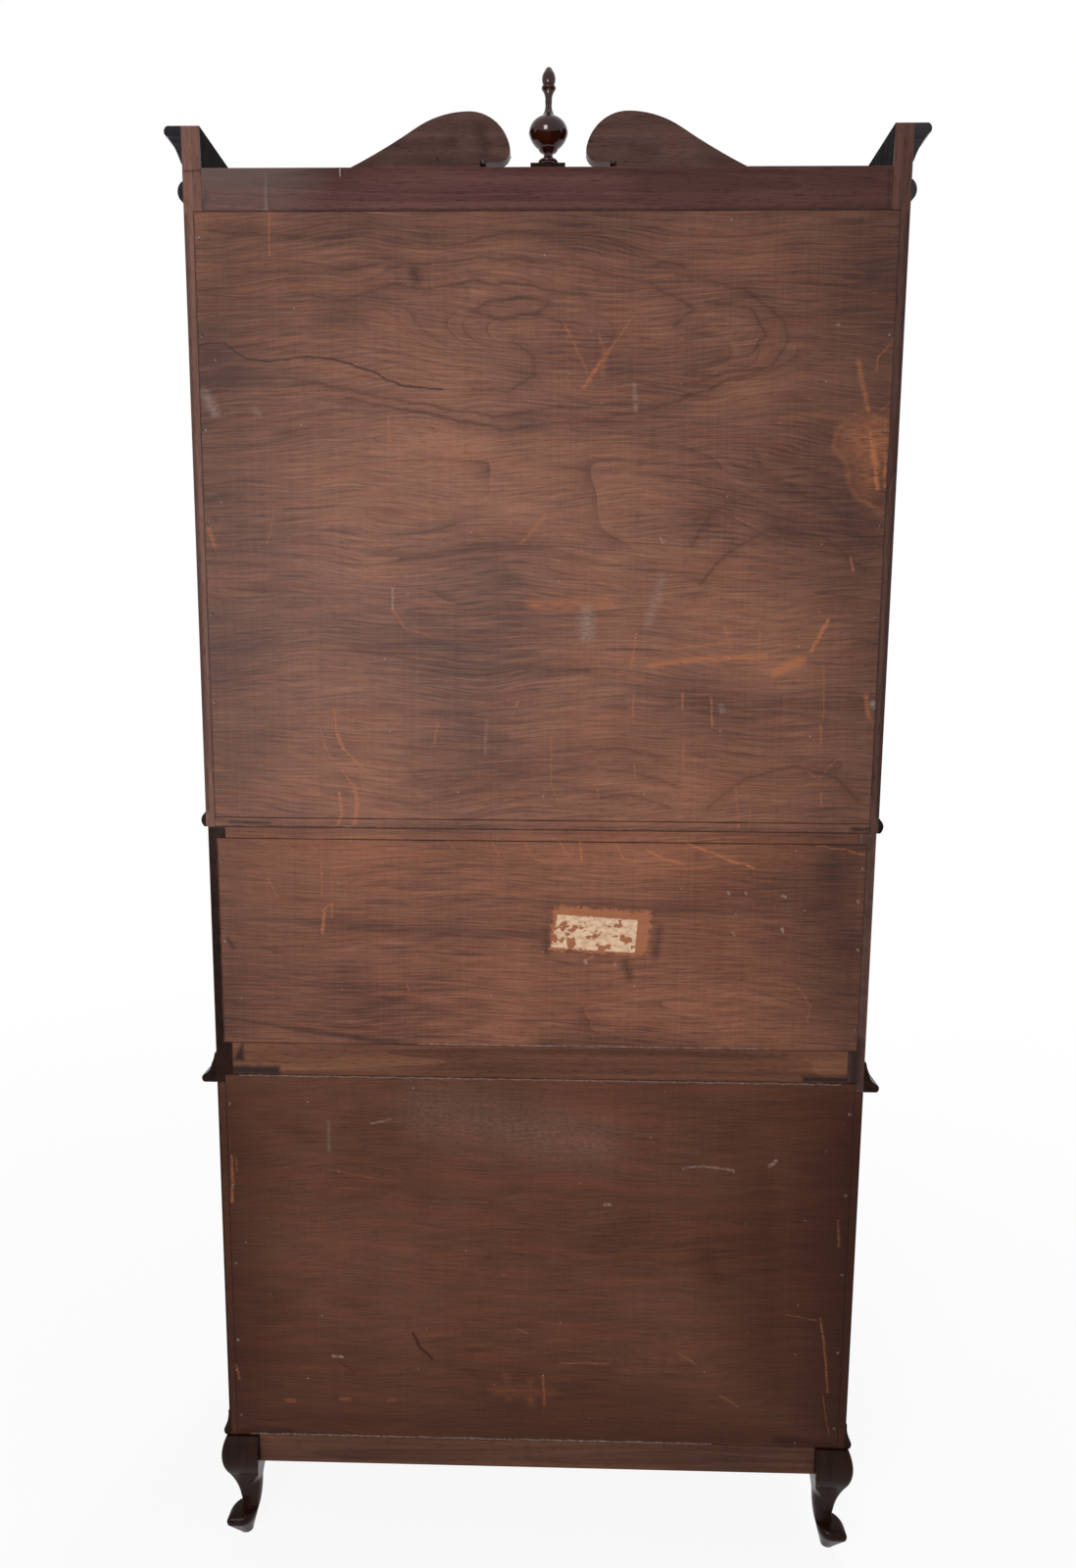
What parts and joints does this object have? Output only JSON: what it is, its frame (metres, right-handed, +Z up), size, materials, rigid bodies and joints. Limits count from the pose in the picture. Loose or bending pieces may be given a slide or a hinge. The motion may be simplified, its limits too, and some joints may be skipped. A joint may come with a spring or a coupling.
{
  "type": "bureau bookcase",
  "caption": "Tall mahogany bureau bookcase with drawers on short cabriole legs, a slant fall-front desk, glazed doors and a scrolled pediment with a finial.",
  "frame": {"origin": "floor level under the middle of the whole object's box", "axes": "+Z up, +Y to the back, +X to the right as seen from the front"},
  "size_m": [0.8942, 0.5006, 2.0435],
  "materials": {
    "mahogany": "satin",
    "plywood": "matte",
    "secondary_wood": "matte",
    "brass": "satin",
    "steel": "satin",
    "glass": "gloss"
  },
  "bodies": {
    "carcass": {"base_sides": "mahogany", "drawer_rails": "mahogany", "base_moulding": "mahogany", "aprons": "mahogany", "front_legs": "mahogany", "rear_legs": "mahogany", "desk_sides": "mahogany", "loper_housing": "mahogany", "writing_bed": "mahogany", "desk_top_board": "mahogany", "desk_back_rail": "mahogany", "desk_moulding": "mahogany", "bookcase_sides": "mahogany", "bookcase_top_rail": "mahogany", "bookcase_shelves": "mahogany", "pediment_board": "mahogany", "cornice": "mahogany", "rosettes": "mahogany", "finial_plinth": "mahogany", "finial": "mahogany", "necking_bead": "mahogany", "waist_moulding": "mahogany", "base_back_panel": "plywood", "desk_back_panel": "plywood", "bookcase_back_panel": "plywood", "base_bottom_board": "secondary_wood", "drawer_runners": "secondary_wood", "desk_bottom_board": "secondary_wood", "pigeonholes": "secondary_wood", "bookcase_bottom_board": "secondary_wood", "bookcase_top_board": "secondary_wood", "shelf_pins": "brass", "fixed_hinge_leaves": "brass", "hinge_pins": "steel", "back_panel_nails": "steel"},
    "door_left": {"door_left_frame": "mahogany", "door_left_glass": "glass", "door_left_brass": "brass"},
    "door_right": {"door_right_frame": "mahogany", "door_right_glass": "glass", "door_right_brass": "brass"},
    "fall": {"fall_board": "mahogany", "fall_brass": "brass"},
    "loper_left": {"loper_left": "mahogany"},
    "loper_right": {"loper_right": "mahogany"},
    "drawer_bottom": {"drawer_bottom": "mahogany", "drawer_bottom_pulls": "brass"},
    "bail_bottom_left": {"drawer_bottom_bail_left": "brass"},
    "bail_bottom_right": {"drawer_bottom_bail_right": "brass"},
    "drawer_middle": {"drawer_middle": "mahogany", "drawer_middle_pulls": "brass"},
    "bail_middle_left": {"drawer_middle_bail_left": "brass"},
    "bail_middle_right": {"drawer_middle_bail_right": "brass"},
    "drawer_top": {"drawer_top": "mahogany", "drawer_top_pulls": "brass"},
    "bail_top_left": {"drawer_top_bail_left": "brass"},
    "bail_top_right": {"drawer_top_bail_right": "brass"},
    "small_drawer_left": {"small_drawer_left": "secondary_wood"},
    "small_drawer_middle": {"small_drawer_middle": "secondary_wood"},
    "small_drawer_right": {"small_drawer_right": "secondary_wood"}
  },
  "joints": [
    {"name": "door_left_swing", "type": "hinge", "parent": "carcass", "child": "door_left", "pos_m": [-0.40425, -0.0256, 1.395], "axis": [0, 0, -1], "range_deg": [0, 110]},
    {"name": "door_right_swing", "type": "hinge", "parent": "carcass", "child": "door_right", "pos_m": [0.40425, -0.0256, 1.395], "axis": [0, 0, 1], "range_deg": [0, 110]},
    {"name": "fall_swing", "type": "hinge", "parent": "carcass", "child": "fall", "pos_m": [0, -0.23, 0.763], "axis": [1, 0, 0], "range_deg": [0, 131.1]},
    {"name": "loper_left_slide", "type": "slide", "parent": "carcass", "child": "loper_left", "axis": [0, -1, 0], "range_m": [0, 0.25]},
    {"name": "loper_right_slide", "type": "slide", "parent": "carcass", "child": "loper_right", "axis": [0, -1, 0], "range_m": [0, 0.25]},
    {"name": "drawer_bottom_slide", "type": "slide", "parent": "carcass", "child": "drawer_bottom", "axis": [0, -1, 0], "range_m": [0, 0.3]},
    {"name": "bail_bottom_left_swing", "type": "hinge", "parent": "drawer_bottom", "child": "bail_bottom_left", "pos_m": [-0.235, -0.239, 0.2765], "axis": [-1, 0, 0], "range_deg": [0, 85]},
    {"name": "bail_bottom_right_swing", "type": "hinge", "parent": "drawer_bottom", "child": "bail_bottom_right", "pos_m": [0.235, -0.239, 0.2765], "axis": [-1, 0, 0], "range_deg": [0, 85]},
    {"name": "drawer_middle_slide", "type": "slide", "parent": "carcass", "child": "drawer_middle", "axis": [0, -1, 0], "range_m": [0, 0.3]},
    {"name": "bail_middle_left_swing", "type": "hinge", "parent": "drawer_middle", "child": "bail_middle_left", "pos_m": [-0.235, -0.239, 0.443], "axis": [-1, 0, 0], "range_deg": [0, 85]},
    {"name": "bail_middle_right_swing", "type": "hinge", "parent": "drawer_middle", "child": "bail_middle_right", "pos_m": [0.235, -0.239, 0.443], "axis": [-1, 0, 0], "range_deg": [0, 85]},
    {"name": "drawer_top_slide", "type": "slide", "parent": "carcass", "child": "drawer_top", "axis": [0, -1, 0], "range_m": [0, 0.3]},
    {"name": "bail_top_left_swing", "type": "hinge", "parent": "drawer_top", "child": "bail_top_left", "pos_m": [-0.235, -0.239, 0.5935], "axis": [-1, 0, 0], "range_deg": [0, 85]},
    {"name": "bail_top_right_swing", "type": "hinge", "parent": "drawer_top", "child": "bail_top_right", "pos_m": [0.235, -0.239, 0.5935], "axis": [-1, 0, 0], "range_deg": [0, 85]},
    {"name": "small_drawer_left_slide", "type": "slide", "parent": "carcass", "child": "small_drawer_left", "axis": [0, -1, 0], "range_m": [0, 0.14]},
    {"name": "small_drawer_middle_slide", "type": "slide", "parent": "carcass", "child": "small_drawer_middle", "axis": [0, -1, 0], "range_m": [0, 0.14]},
    {"name": "small_drawer_right_slide", "type": "slide", "parent": "carcass", "child": "small_drawer_right", "axis": [0, -1, 0], "range_m": [0, 0.14]}
  ]
}
